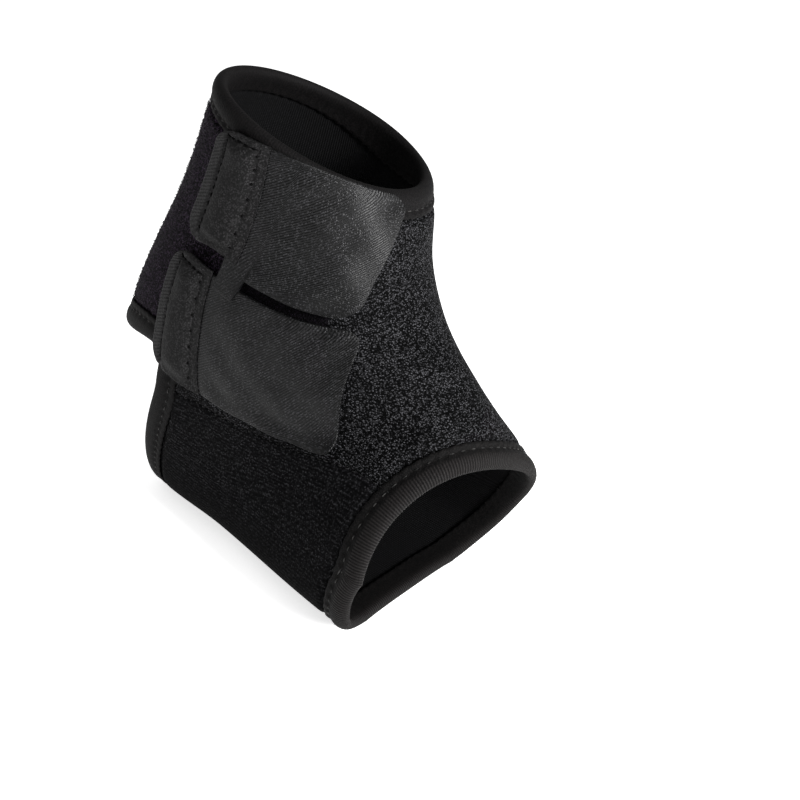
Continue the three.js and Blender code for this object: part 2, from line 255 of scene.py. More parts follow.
def nearest_on(points, line):
    """Distance from each point to a closed line of points, and how far along it that is."""
    flat = points.reshape(-1, 3)
    squares = (flat**2).sum(1)[:, None] + (line**2).sum(1)[None] - 2 * flat @ line.T
    nearest = squares.argmin(1)
    along = lengths_on(line)[nearest]
    away = np.sqrt(np.maximum(squares[np.arange(len(flat)), nearest], 0))
    return away.reshape(points.shape[:-1]), along.reshape(points.shape[:-1])


RIM_STEPS, FRONT_STEPS, HALF_HEEL_STEPS = 480, 600, 270
rim_line = even_spots(rim_edge, 360, 0, RIM_STEPS)[1:]
front_line = even_spots(front_edge, 0, 360, FRONT_STEPS)[1:]
heel_halves = [even_spots(heel_edge, a, a + 180, HALF_HEEL_STEPS)[1:] for a in (0, 180)]
heel_line = np.concatenate(heel_halves)


TAPE_PRESS, LINING_PRESS, PUCKER = 1.25 * MM, 0.35 * MM, 0.8 * MM


def pressed_by_tape(spots):
    """How far the two faces of a panel sink, outer and inner. Under the tape both sink by its
    thickness, and beside its sewn edge a groove of bells follows the stitches."""
    points = form_point(spots)
    found = [nearest_on(points, form_point(line)) for line in (rim_line, front_line, heel_line)]
    away = np.stack([distance for distance, _ in found])
    along = np.stack([length for _, length in found])
    pick = away.argmin(0)[None]
    away = np.take_along_axis(away, pick, 0)[0]
    along = np.take_along_axis(along, pick, 0)[0]
    under = 1 - ramp(away, TAPE_WIDTH - 0.6 * MM, TAPE_WIDTH + 1.6 * MM)
    pull = 0.65 + 0.35 * np.cos(2 * np.pi * along / TAPE_STITCH)
    groove = PUCKER * bell(away, TAPE_WIDTH + 0.9 * MM, 1.2 * MM) * pull
    return TAPE_PRESS * under + groove, LINING_PRESS * under


def ends_closer(count, gather):
    """Shares from 0 to 1 that lie closer at both ends: t - gather sin(2 pi t) / 2 pi."""
    t = np.linspace(0, 1, count)
    return t - gather * np.sin(2 * np.pi * t) / (2 * np.pi)


def lengths_along(points, axis):
    """Distances from the grid's first line, averaged over the lines that cross it."""
    steps = np.linalg.norm(np.diff(points, axis=axis), axis=-1).mean(1 - axis)
    return np.concatenate([[0], np.cumsum(steps)])


def mesh_object(name, points, faces, uv, looks=None):
    """A mesh from points, four-sided faces, a place on the cloth for each face corner and the
    number of each face's material."""
    mesh = bpy.data.meshes.new(name)
    mesh.vertices.add(len(points))
    mesh.vertices.foreach_set("co", np.asarray(points, np.float32).ravel())
    mesh.loops.add(faces.size)
    mesh.loops.foreach_set("vertex_index", faces.astype(np.int32).ravel())
    mesh.polygons.add(len(faces))
    mesh.polygons.foreach_set("loop_start", np.arange(0, faces.size, 4, dtype=np.int32))
    mesh.uv_layers.new(name="cloth").data.foreach_set("uv", np.asarray(uv, np.float32).ravel())
    mesh.polygons.foreach_set("use_smooth", np.ones(len(faces), bool))
    if looks is not None:
        mesh.polygons.foreach_set("material_index", looks.astype(np.int32))
    mesh.update()
    mesh.validate()
    made = bpy.data.objects.new(name, mesh)
    bpy.context.collection.objects.link(made)
    return made


def outward(points, faces, normals):
    """True if the grid's faces look the way of the form's normals."""
    a, b, c = (points[faces[len(faces) // 2, k]] for k in (0, 1, 2))
    return np.cross(b - a, c - a) @ normals > 0


def grid_corners(columns, rows):
    """Both indices of the four corners of each square of a grid, in order round it."""
    i, j = (part.ravel() for part in np.mgrid[0:columns, 0:rows])
    return np.stack([i, i + 1, i + 1, i], 1), np.stack([j, j, j + 1, j + 1], 1)


def sheet_object(name, spots, high, low, around=False):
    """Cloth with thickness: one grid of points at each of two heights over the form, joined
    by a wall at each free edge. Around closes the grid in its first direction."""
    columns, rows = spots.shape[:2]
    outer, inner = raised(spots, high), raised(spots, low)
    measured = closed_line(outer) if around else outer
    u, v = lengths_along(measured, 0), lengths_along(measured, 1)
    spans = len(measured) - 1
    corner_i, corner_j = grid_corners(spans, rows - 1)
    face = (corner_i % columns) * rows + corner_j
    place = np.stack([u[corner_i], v[corner_j]], -1)
    back = columns * rows
    i, j = np.arange(spans + 1), np.arange(rows)
    runs = [(i, 0 * i), (i[::-1], 0 * i + rows - 1)]
    if not around:
        runs += [(0 * j + columns - 1, j), (0 * j, j[::-1])]
    faces, places = [face, face[:, ::-1] + back], [place, place[:, ::-1]]
    for run_i, run_j in runs:
        a = (run_i % columns) * rows + run_j
        at = np.stack([u[run_i], v[run_j]], -1)
        faces.append(np.stack([a[:-1], a[:-1] + back, a[1:] + back, a[1:]], 1))
        places.append(np.stack([at[:-1], at[:-1], at[1:], at[1:]], 1))
    points = np.concatenate([outer.reshape(-1, 3), inner.reshape(-1, 3)])
    faces, places = np.concatenate(faces), np.concatenate(places)
    looks = np.zeros(len(faces))
    looks[len(face) : 2 * len(face)] = 1
    middle = form_normal(spots.reshape(-1, 2)[face[len(face) // 2, :1]])[0]
    if not outward(points, face, middle):
        faces, places = faces[:, ::-1], places[:, ::-1]
    return mesh_object(name, points, faces, places, looks)


PANEL_INSET = 1.0 * MM
WRAP_FRONT_COLUMNS, WRAP_SEAM_COLUMNS, WRAP_HEEL_COLUMNS = 120, 64, 110
WRAP_ROWS, WRAP_GATHER = 104, 0.72
SEAM_ROLL, SEAM_ROLL_REACH, SEAM_STEPS = 0.55 * MM, 0.7 * MM, 400


def inside_edge(edge, start, stop, count):
    """Spots beside a bound edge, without the two ends, where a seam's own spots lie."""
    return shifted(even_spots(edge, start, stop, count), PANEL_INSET)[1:-1]


def wrap_spots():
    """Columns from the rim to the lower edge, which is the toe opening over the instep, the
    outer seam, the top of the heel hole and the inner seam. A column is straight in down and
    turn, and its rows lie closer at both ends."""
    corner = heel_edge(np.zeros(1))[0, 1]
    turn = SEAM_FRONT_TURN
    runs = [
        (inside_edge(front_edge, -turn, turn, WRAP_FRONT_COLUMNS), -turn, turn),
        (even_spots(outer_seam, 1, 0, WRAP_SEAM_COLUMNS), turn, corner),
        (inside_edge(heel_edge, 0, 180, WRAP_HEEL_COLUMNS), corner, 360 - corner),
        (even_spots(inner_seam, 0, 1, WRAP_SEAM_COLUMNS), 360 - corner, 360 - turn),
    ]
    low = np.concatenate([spots for spots, _, _ in runs])
    turns = [mix(a, b, (np.arange(len(s)) + 0.5) / len(s)) for s, a, b in runs]
    top = shifted(rim_edge(np.concatenate(turns)), -PANEL_INSET, True)
    return mix(top[:, None], low[:, None], ends_closer(WRAP_ROWS, WRAP_GATHER)[None, :, None])


def beside_seam(spots):
    """The roll of the cloth into a seam: a bell of the distance to the nearer seam."""
    points = form_point(spots)
    seams = [form_point(even_spots(seam, 0, 1, SEAM_STEPS)) for seam in (outer_seam, inner_seam)]
    away = np.minimum(*(nearest_on(points, seam)[0] for seam in seams))
    return SEAM_ROLL * bell(away, 0, SEAM_ROLL_REACH)


class Wire:
    """A shader socket that works as a number in an expression: each operator adds one Math
    node."""

    def __init__(self, socket):
        self.socket = socket

    def math(self, operation, *others):
        node = self.socket.id_data.nodes.new("ShaderNodeMath")
        node.operation = operation
        for slot, value in zip(node.inputs, (self, *others)):
            plug(slot, value)
        return Wire(node.outputs[0])

    def __add__(self, other):
        return self.math("ADD", other)

    def __mul__(self, other):
        return self.math("MULTIPLY", other)

    def __rsub__(self, other):
        return (self * -1.0) + other

    __radd__ = __add__
    __rmul__ = __mul__

    def wave(self, pitch):
        """A sine between 0 and 1 that repeats at each pitch."""
        return (self * (2 * np.pi / pitch)).math("SINE") * 0.5 + 0.5

    def step(self, low, high):
        """0 below low, 1 above high and smooth between them."""
        node = self.socket.id_data.nodes.new("ShaderNodeMapRange")
        node.interpolation_type = "SMOOTHSTEP"
        for name, value in (("Value", self), ("From Min", low), ("From Max", high)):
            plug(node.inputs[name], value)
        return Wire(node.outputs[0])


def plug(slot, value):
    if isinstance(value, Wire):
        slot.id_data.links.new(value.socket, slot)
    else:
        slot.default_value = value


class Finish:
    """A material of one shader. node() adds any node from its type, settings and sockets."""

    def __init__(self, name, specular):
        self.material = bpy.data.materials.new(name)
        self.material.use_nodes = True
        self.tree = self.material.node_tree
        self.shader = self.tree.nodes["Principled BSDF"]
        self.shader.inputs["Specular IOR Level"].default_value = specular

    def node(self, kind, settings=(), sockets=(), output=0):
        made = self.tree.nodes.new("ShaderNode" + kind)
        for name, value in dict(settings).items():
            setattr(made, name, value)
        for name, value in dict(sockets).items():
            plug(made.inputs[name], value)
        return Wire(made.outputs[output])

    def place(self):
        return self.node("TexCoord", output="Object")

    def split(self, place):
        """The three parts of a vector."""
        first = self.node("SeparateXYZ", sockets={"Vector": place})
        return [Wire(output) for output in first.socket.node.outputs]

    def cloth_place(self):
        """The two distances along the cloth, in metres."""
        return self.split(self.node("UVMap", {"uv_map": "cloth"}))[:2]

    def noise(self, size, detail=2.0):
        """Noise from 0 to 1 whose blotches are about a size across, in metres."""
        sockets = {"Vector": self.place(), "Scale": 1 / size, "Detail": detail}
        return self.node("TexNoise", sockets=sockets)

    def grains(self, size, place=None):
        """Many cells of a size: the distance from the nearest one's middle, in cell sizes, and
        a tone of its own for each cell."""
        sockets = {"Vector": place or self.place(), "Scale": 1 / size}
        away = self.node("TexVoronoi", sockets=sockets)
        return away, Wire(away.socket.node.outputs["Color"])

    def blend(self, share, first, second):
        """A colour between two, by a share."""
        node = self.tree.nodes.new("ShaderNodeMix")
        node.data_type = "RGBA"
        plug(node.inputs["Factor"], share)
        for slot, colour in zip((node.inputs[6], node.inputs[7]), (first, second)):
            plug(slot, colour if isinstance(colour, Wire) else (*colour, 1))
        return Wire(node.outputs[2])

    def colour(self, value):
        plug(self.shader.inputs["Base Color"], value)

    def roughness(self, value):
        plug(self.shader.inputs["Roughness"], value)

    def relief(self, height, depth):
        """Bump from a height between 0 and 1 that stands for a depth in metres."""
        bump = self.node("Bump", sockets={"Height": height, "Distance": depth, "Strength": 1.0})
        plug(self.shader.inputs["Normal"], bump)


def knit_face():
    """Black knit: flat round loops lit as grey grains on near black. The attribute of pile and
    painted shade turns it into purple-black fuzz: up to a half for its colour, the rest for its
    brightness. Where the straps cover the wrap it stays at a half, so the fuzz there is dim:
    painted shade."""
    finish = Finish("knit_face", specular=0.03)
    flattened = finish.node("Mapping", sockets={"Vector": finish.place(), "Scale": (1, 1, 1.45)})
    away, tone = finish.grains(0.56 * MM, flattened)
    top = (1 - away).step(0.28, 0.85)
    loops = top * tone.step(0.25, 0.90)
    bright = loops * (0.65 + finish.noise(7 * MM, 3.0).step(0.25, 0.75) * 0.35)
    knit = finish.blend(bright, (0.0003, 0.0003, 0.00035), (0.064, 0.064, 0.069))
    share = finish.node("Attribute", {"attribute_name": "pile_and_shade"}, output="Fac")
    # Painted shade: under the straps, where the mask is a half, the fuzz is kept dim
    fuzz = finish.noise(0.6 * MM, 2.0).step(0.45, 0.68) * (0.1 + share.step(0.5, 1.0) * 0.9)
    pile_and_shade = finish.blend(fuzz, (0.0006, 0.0005, 0.0007), (0.029, 0.0205, 0.033))
    finish.colour(finish.blend(share.step(0.0, 0.5), knit, pile_and_shade))
    finish.roughness(0.8 - loops * 0.3)
    finish.relief(top * (0.4 + tone * 0.6), 0.2 * MM)
    return finish.material


def knit_lining():
    """The inner knit face: dark, with fine wales that run down the leg."""
    finish = Finish("knit_lining", specular=0.05)
    across, along = finish.cloth_place()
    wale, loop = across.wave(0.9 * MM), along.wave(0.7 * MM)
    tone = wale * loop * finish.noise(0.8 * MM)
    finish.colour(finish.blend(tone, (0.0014, 0.0014, 0.0015), (0.014, 0.014, 0.015)))
    finish.roughness(0.85)
    finish.relief(wale * 0.7 + loop * 0.3, 0.15 * MM)
    return finish.material


def dressed(piece, *materials):
    for material in materials:
        piece.data.materials.append(material)
    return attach(piece, "root")


wrap_grid = wrap_spots()
sunk_out, sunk_in = pressed_by_tape(wrap_grid)
roll = beside_seam(wrap_grid)
upper_wrap = sheet_object(
    "upper_wrap_cloth", wrap_grid, -sunk_out - roll, -CLOTH + sunk_in + roll, around=True
)
lining = knit_lining()
dressed(upper_wrap, knit_face(), lining)
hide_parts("upper_wrap")


# The stirrup is a second neoprene panel that passes under the foot and up both sides to the
# seams. Its knit face has fine ribs that run from heel to toe.
STIRRUP_COLUMNS, STIRRUP_ROWS, STIRRUP_GATHER = 176, 112, 0.6


def stirrup_spots():
    """A grid between four lines, heel edge, toe edge and two seams: the sum of the two ways
    of mixing opposite lines, less the mix of the four corners."""
    outer = even_spots(outer_seam, 0, 1, STIRRUP_ROWS - 1)
    inner = even_spots(inner_seam, 0, 1, STIRRUP_ROWS - 1)
    turn = SEAM_FRONT_TURN
    heel = shifted(even_spots(heel_edge, 360, 180, STIRRUP_COLUMNS - 1), -PANEL_INSET)
    front = shifted(even_spots(front_edge, turn, 360 - turn, STIRRUP_COLUMNS - 1), PANEL_INSET)
    heel[[0, -1]], front[[0, -1]] = (outer[0], inner[0]), (outer[-1], inner[-1])
    across = np.linspace(0, 1, STIRRUP_COLUMNS)[:, None, None]
    along = ends_closer(STIRRUP_ROWS, STIRRUP_GATHER)
    outer, inner = even_rows(outer, along), even_rows(inner, along)
    along = along[None, :, None]
    sides = mix(outer[None], inner[None], across)
    ends = mix(heel[:, None], front[:, None], along)
    corners = mix(mix(outer[0], inner[0], across), mix(outer[-1], inner[-1], across), along)
    return sides + ends - corners


def even_rows(line, shares):
    """A line of spots resampled at shares of its count."""
    places = np.linspace(0, 1, len(line))
    return np.stack([np.interp(shares, places, line[:, k]) for k in (0, 1)], -1)


def ribbed_knit():
    """Black knit with ribs: a wave across the panel whose tops carry small loops, each lit as a
    grey grain of its own tone. Towards the sole it is darkened by painted shade, by height over the
    floor."""
    finish = Finish("ribbed_knit", specular=0.02)
    across = finish.cloth_place()[0]
    waver = finish.noise(9 * MM, 1.0)
    rib = (across + waver * (0.8 * MM)).wave(1.6 * MM)
    away, tone = finish.grains(0.52 * MM)
    loops = (1 - away).step(0.2, 0.8) * tone.step(0.3, 0.95)
    # Painted shade: the colour darkens towards the floor, to about a fifth at the sole
    height = finish.split(finish.place())[2]
    painted_light_by_height = 0.22 + height.step(4 * MM, 30 * MM) * 0.78
    bright = (0.45 + rib * 0.55) * (0.08 + loops * 0.92) * painted_light_by_height
    finish.colour(finish.blend(bright, (0.0003, 0.0003, 0.00035), (0.026, 0.026, 0.028)))
    finish.roughness(0.85 - bright * 0.25)
    finish.relief(rib * 0.55 + loops * 0.45, 0.16 * MM)
    return finish.material


spots = stirrup_spots()
sunk_out, sunk_in = pressed_by_tape(spots)
roll = beside_seam(spots)
stirrup = sheet_object("stirrup_cloth", spots, -sunk_out - roll, -CLOTH + sunk_in + roll)
dressed(stirrup, ribbed_knit(), lining)
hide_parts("stirrup")


# The binding is woven tape, folded round each cut edge and sewn through both legs. Fine ribs
# run across it, and the lock stitches pull it into small puckers near its inner edge.
TAPE_STITCH_IN = 6.7 * MM
TAPE_RIB = 0.9 * MM
# The tape's outline: millimetres in from the edge, and height over the form
TAPE_PROFILE = MM * np.array([
    (9.0, -0.62), (8.9, -0.2), (8.2, 0.0), (7.4, -0.08), (6.7, -0.22),
    (5.9, 0.02), (4.6, 0.24), (3.2, 0.24), (1.9, 0.0), (0.9, -0.5),
    (0.2, -1.2), (0.0, -1.95), (0.2, -2.7), (0.9, -3.4), (2.0, -3.8),
    (4.5, -3.95), (7.5, -3.9), (8.9, -3.85), (9.0, -3.4), (8.5, -3.1),
    (5.0, -3.15), (2.0, -3.0), (1.1, -2.4), (1.1, -1.5), (2.0, -0.9),
    (5.0, -0.75), (8.0, -0.85),
])
# Where the outer half and the fold, which carry the ribs, begin and end round the outline
FOLD_START, FOLD_END = (4 * MM, 5 * MM), (12.5 * MM, 15 * MM)
TAPE_WAVER, TAPE_PUCKER = 0.13 * MM, 0.3 * MM


def smooth_loop(points, count):
    """A closed curve through points, by a cubic between each two."""
    place = np.linspace(0, len(points), count, endpoint=False)
    i = np.floor(place).astype(int)
    t = (place - i)[:, None]
    return cubic(*(points[(i + k) % len(points)] for k in (-1, 0, 1, 2)), t)


def band_object(name, line, profile, ribs):
    """The tape: its profile, distance in from the edge and height, is carried along the edge.
    The sewn edge wavers with the stitches, a bell at each stitch pulls the face down, and a
    sine along the edge raises ribs on the fold, out from the profile."""
    points = form_point(line)
    along, v = lengths_on(closed_line(points)), lengths_on(closed_line(profile))
    stitch_pitch = along[-1] / round(along[-1] / TAPE_STITCH)
    wave = np.cos(2 * np.pi * along[:-1] / stitch_pitch)[:, None]
    distance, height = profile[None, :, 0], profile[None, :, 1]
    wavering = ramp(distance, 5 * MM, 9 * MM) * wave * TAPE_WAVER
    pull = bell(distance, TAPE_STITCH_IN, MM) * (0.5 + 0.5 * wave) * TAPE_PUCKER
    pulled = np.where(height > -CLOTH / 2, -pull, pull)
    way = unit(edge_direction(profile, True))
    rib_turns = along[:-1, None] * round(along[-1] / TAPE_RIB) / along[-1]
    on_fold = ramp(v[:-1], *FOLD_START) * (1 - ramp(v[:-1], *FOLD_END))
    rib = ribs * (0.5 + 0.5 * np.sin(2 * np.pi * rib_turns)) * on_fold
    distance = distance + wavering + rib * way[:, 1]
    height = height + pulled - rib * way[:, 0]
    direction = edge_direction(points, True)
    blur = len(line) // 120
    direction = sum(np.roll(direction, k, 0) for k in range(-blur, blur + 1))
    rows, columns = len(profile), len(line)
    grid = np.repeat(line[:, None], rows, 1)
    spots = step_across(grid, direction[:, None] + np.zeros((1, rows, 1)), distance)
    flat = raised(spots, height).reshape(-1, 3)
    corner_i, corner_j = grid_corners(columns, rows)
    faces = (corner_i % columns) * rows + corner_j % rows
    ribbed_along = along * round(along[-1] / TAPE_RIB) * TAPE_RIB / along[-1]
    places = np.stack([ribbed_along[corner_i], v[corner_j]], -1)
    if not outward(flat, faces[3:4], form_normal(line[:1])[0]):
        faces, places = faces[:, ::-1], places[:, ::-1]
    return mesh_object(name, flat, faces, places)


def woven_tape(name, ribs, light):
    """Black tape whose ribs run across it, on the fold only, by a share of their full depth."""
    finish = Finish(name, specular=0.08)
    along, across = finish.cloth_place()
    rib = along.wave(TAPE_RIB) * ribs
    fold = across.step(*FOLD_START) * (1 - across.step(*FOLD_END))
    grain = finish.noise(0.5 * MM, 2.0).step(0.35, 0.75)
    tone = grain * (0.45 - fold * 0.2) + rib * fold * 0.75
    finish.colour(finish.blend(tone, (0.0006, 0.0006, 0.0006), light))
    finish.roughness(0.75 - rib * fold * 0.2)
    finish.relief(rib * fold * 0.4 + grain * 0.6, 0.12 * MM)
    return finish.material


smooth_tape = woven_tape("smooth_tape", 0.25, (0.0095, 0.0078, 0.0083))
ribbed_tape = woven_tape("ribbed_tape", 1, (0.0105, 0.0092, 0.0090))
tape_profile = smooth_loop(TAPE_PROFILE, 44)
RIBBED_STEPS, RIB_HEIGHT = 1440, 0.13 * MM
BOUND_EDGES = {
    "top_binding": rim_line,
    "front_binding": even_spots(front_edge, 0, 360, RIBBED_STEPS)[1:],
    "heel_binding": heel_line,
}
for name, line in BOUND_EDGES.items():
    look, ribs = (ribbed_tape, RIB_HEIGHT) if name == "front_binding" else (smooth_tape, 0)
    tape = dressed(band_object(name + "_tape", line, tape_profile, ribs), look)
    length = lengths_on(closed_line(form_point(line)))[-1]
    panels = ["upper_wrap_cloth"] + ["stirrup_cloth"] * (name != "top_binding")
    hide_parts(name)


# The lock stitches that hold each tape are polyester thread. Each one shows as a short bead
# that dips into the cloth at both ends.
BEAD_SIDES = 6
# A stitch's thickness from end to end, as shares of the whole
BEAD_SHAPE = np.array([0.05, 0.62, 0.95, 1.0, 0.95, 0.62, 0.05])


def tubes_object(name, lines, side, normals, radius, sides):
    """Closed tubes: round each point of each line stands a ring, from side towards normal.
    Four-sided faces join the rings and close both ends."""
    count, rings = lines.shape[:2]
    angle = np.linspace(0, 2 * np.pi, sides, endpoint=False)[None, None, :, None]
    round_it = side[:, None, None] * np.cos(angle) + normals[:, None, None] * np.sin(angle)
    points = lines[:, :, None] + round_it * radius
    k, i, j = (part.ravel() for part in np.mgrid[0:count, 0 : rings - 1, 0:sides])
    ring, after = (k * rings + i) * sides, (j + 1) % sides
    faces = [np.stack([ring + j, ring + after, ring + sides + after, ring + sides + j], 1)]
    for corner in range(1, sides - 1, 2):
        end = np.arange(count)[:, None] * rings * sides + [0, corner, corner + 1, corner + 2]
        faces += [end[:, ::-1], end + (rings - 1) * sides]
    faces = np.concatenate(faces)
    places = np.zeros((len(faces), 4, 2))
    places[: len(k)] = np.stack([[i, i, i + 1, i + 1], [j, j + 1, j + 1, j]], -1).swapaxes(0, 1)
    return mesh_object(name, points.reshape(-1, 3), faces, places * 0.1 * MM)


def stitch_object(name, starts, ends, normals, radius, arch):
    """Beads of thread from start to end, whose middle stands up by half a wave."""
    share = np.linspace(0, 1, len(BEAD_SHAPE))[None, :, None]
    lines = mix(starts[:, None], ends[:, None], share)
    lines = lines + normals[:, None] * (arch * np.sin(np.pi * share) - 0.35 * arch)
    side = unit(np.cross(normals, ends - starts))
    thick = radius * BEAD_SHAPE[None, :, None, None]
    return tubes_object(name, lines, side, normals, thick, BEAD_SIDES)


def thread(name, specular, dark, light):
    """Thread: a tone that changes from stitch to stitch."""
    finish = Finish(name, specular)
    finish.roughness(0.5)
    tone = finish.noise(2.5 * MM, 2.0).step(0.35, 0.7)
    finish.colour(finish.blend(tone, dark, light))
    finish.relief(finish.noise(0.3 * MM), 0.05 * MM)
    return finish.material


def row_of_stitches(line, distance, pitch, length, height, closed=True):
    """Starts, ends and normals of stitches along a line of spots, a distance to its left."""
    line = closed_line(line) if closed else line
    along = lengths_on(form_point(line))
    count = round(along[-1] / pitch)
    middles = (np.arange(count) + 0.5) * along[-1] / count
    inside = shifted(line, distance)
    placed = raised(inside, np.full(len(inside), height))
    normals = form_normal(inside)

    def at(where, values):
        return np.stack([np.interp(where, along, values[:, k]) for k in range(3)], -1)

    first, last = at(middles - length / 2, placed), at(middles + length / 2, placed)
    return first, last, at(middles, normals)


tape_thread = thread("tape_thread", 0.15, (0.001, 0.001, 0.001), (0.03, 0.029, 0.028))
for name, line in BOUND_EDGES.items():
    row = row_of_stitches(line, TAPE_STITCH_IN, TAPE_STITCH, length=1.7 * MM, height=-0.28 * MM)
    beads = stitch_object(name + "_stitches", *row, radius=0.2 * MM, arch=0.22 * MM)
    dressed(beads, tape_thread)


# Each seam joins the two panels edge to edge. Its small thread stitches lie in the groove
# between the panels, and only some of them catch the light.
seam_thread = thread("seam_thread", 0.15, (0.0008, 0.0008, 0.0008), (0.018, 0.018, 0.018))
for name, seam in (("outer_seam", outer_seam), ("inner_seam", inner_seam)):
    line = even_spots(seam, 0.06, 0.94, 200)
    row = row_of_stitches(
        line, distance=0, pitch=2.6 * MM, length=1.3 * MM, height=-0.35 * MM, closed=False
    )
    beads = stitch_object(name + "_stitches", *row, radius=0.17 * MM, arch=0.2 * MM)
    dressed(beads, seam_thread)


# Each strap is stiff twill webbing with heat-cut, rounded ends, fastened by hooks under its
# front part. The two lie one over the other on the outer ankle, a narrow slit apart.
STRAP = 1.6 * MM
STRAP_WIDTH = 40 * MM
STRAP_CORNER = 7 * MM
STRAP_LIFT = 0.35 * MM
STRAP_SLIT = (3.8 * MM, 1.4 * MM)
STRAP_ROWS, STRAP_COLUMNS = 72, 200
# Down, turn and lean at a strap's back and front ends, as on the form
UPPER_DOWN, UPPER_ARCH, UPPER_TURN, UPPER_LEAN = (0.047, 0.028), 0.03, (99, 1), (33, 103)
LOWER_LEAN = (-41, 92)


def length_down(start, reach, lean):
    """Length on the face of lines that go down from their starts by a reach, along a lean."""
    share = np.linspace(0, 1, 17)
    down = reach[:, None] * share
    spots = start[:, None] + np.stack([down, lean[:, None] * down], -1)
    return np.linalg.norm(np.diff(form_point(spots), axis=1), axis=-1).sum(1)


def walk_down(start, lean, distance):
    """Spots a distance down the face: a first reach is corrected three times by its length."""
    reach = distance / FORM_HEIGHT * np.ones(len(start))
    for _ in range(3):
        reach = reach * distance / length_down(start, reach, lean)
    return start + np.stack([reach, lean * reach], -1)


def upper_edges(share):
    """Top and bottom edges of the upper strap at shares of its length: the top edge arches
    by a parabola, and the bottom edge lies a strap's width down a lean."""
    down = mix(*UPPER_DOWN, share) - 4 * UPPER_ARCH * share * (1 - share)
    top = np.stack([down, mix(*UPPER_TURN, share)], -1)
    return top, walk_down(top, mix(*UPPER_LEAN, share), STRAP_WIDTH)


def lower_edges(share):
    """The lower strap's top edge lies a slit below the upper strap's bottom edge."""
    above = upper_edges(mix(-0.01, 1.07, share))[1]
    lean = mix(*LOWER_LEAN, share)
    top = walk_down(above, lean, mix(*STRAP_SLIT, share))
    return top, walk_down(top, lean, STRAP_WIDTH)


def strap_length(edges):
    share = np.linspace(0, 1, 60)
    return lengths_on(form_point(mix(*edges(share), 0.5)))[-1]


def webbing_spots(edges, span, margin, counts, rounded, drop, tail=0, skew=0):
    """A grid along and across a strip, and its distances from the strap's back end and from
    the strip's top edge. The span is where it starts and stops and the strap's whole length.
    The ends of a row are drawn in by the corner's circle, at the front by a share of it. Drop
    moves the bottom edge down, a tail draws the lower back end out and a skew the lower
    front end."""
    (start, stop, whole), (rows, columns) = span, counts
    width, radius = STRAP_WIDTH + 2 * margin, STRAP_CORNER + margin
    across = width * ends_closer(rows, 0.8)
    from_side = np.minimum(across, width - across)
    inset = radius - np.sqrt(radius**2 - np.maximum(radius - from_side, 0) ** 2)
    ends = stop - inset * rounded + skew * ramp(across, 0, width)
    starts = start + inset - tail * ramp(across, 0.45 * width, 0.85 * width)
    along = mix(starts[None], ends[None], ends_closer(columns, 0.3)[:, None])
    top, low = edges((along / whole).ravel())
    widened = drop(along)
    share = (across - margin + widened * ramp(across, 0.8 * width, width)) / STRAP_WIDTH
    spots = mix(top, low, share.reshape(-1, 1)).reshape(*along.shape, 2)
    return spots, along, np.broadcast_to(across, along.shape)


def rounded_edge(along, across, start, stop, width, radius, depth):
    """How far a face drops at its edges: a circle's drop within a radius of the edge."""
    away = np.minimum(np.minimum(across, width - across), np.minimum(along - start, stop - along))
    t = np.clip(away / radius, 0, 1)
    return depth * (1 - np.sqrt(1 - (1 - t) ** 2))


def twill():
    """Twill: fine slanting ribs across small cross threads, with a faint mottling."""
    finish = Finish("strap_webbing", specular=0.14)
    along, across = finish.cloth_place()
    rib = (along + across).wave(MM)
    away, thread_tone = finish.grains(0.54 * MM)
    dash = (1 - away).step(0.25, 0.80) * thread_tone.step(0.30, 0.80)
    broad = finish.noise(9 * MM, 3.0).step(0.25, 0.75)
    tone = (0.3 + rib * 0.7) * (0.08 + dash * 0.92) * (0.6 + broad * 0.4)
    finish.colour(finish.blend(tone, (0.0002, 0.0002, 0.0002), (0.026, 0.0257, 0.0279)))
    finish.roughness(0.38 - tone * 0.1)
    finish.relief(rib * 0.5 + dash * 0.5, 0.16 * MM)
    return finish.material


webbing = twill()
STRAPS = {"upper": upper_edges, "lower": lower_edges}
TAILS = {"upper": 0, "lower": 2.4 * MM}
SKEWS = {"upper": 4 * MM, "lower": 0}


# How far the upper strap's bottom edge lies up, between which distances it lies up more, and
# how far the bridge reaches down
EDGE_RISE, RISE_BY_TAB = 0.8 * MM, 1.9 * MM
RISE_BACK, RISE_FRONT = (2 * MM, 14 * MM), (19 * MM, 25 * MM)
BRIDGE_DROP, BRIDGE_BACK, BRIDGE_FRONT = 4.3 * MM, (17 * MM, 18 * MM), (25.4 * MM, 26.0 * MM)


def raised_edge(along):
    """The upper strap's bottom edge lies higher than a straight one, most at the tab's end."""
    beside_tab = ramp(along, *RISE_BACK) * (1 - ramp(along, *RISE_FRONT))
    return -EDGE_RISE - RISE_BY_TAB * beside_tab


def bridged_edge(along):
    """The raised edge, with a short bridge that reaches down to the lower strap."""
    on_bridge = ramp(along, *BRIDGE_BACK) * (1 - ramp(along, *BRIDGE_FRONT))
    return mix(raised_edge(along), BRIDGE_DROP, on_bridge)


def straight_edge(along):
    return 0 * along


def tab_edge(along):
    return raised_edge(along) - 0.9 * MM


def webbing_swell(along, across):
    """Gentle waves in front of the tab: two slanting sines, one times the other."""
    first = np.sin(2 * np.pi * along / (17 * MM) + 1.3 * np.sin(across / (8 * MM)))
    second = np.sin(2 * np.pi * across / (23 * MM) + along / (13 * MM))
    return STRAP_SWELL * first * second * ramp(along, 15 * MM, 26 * MM)


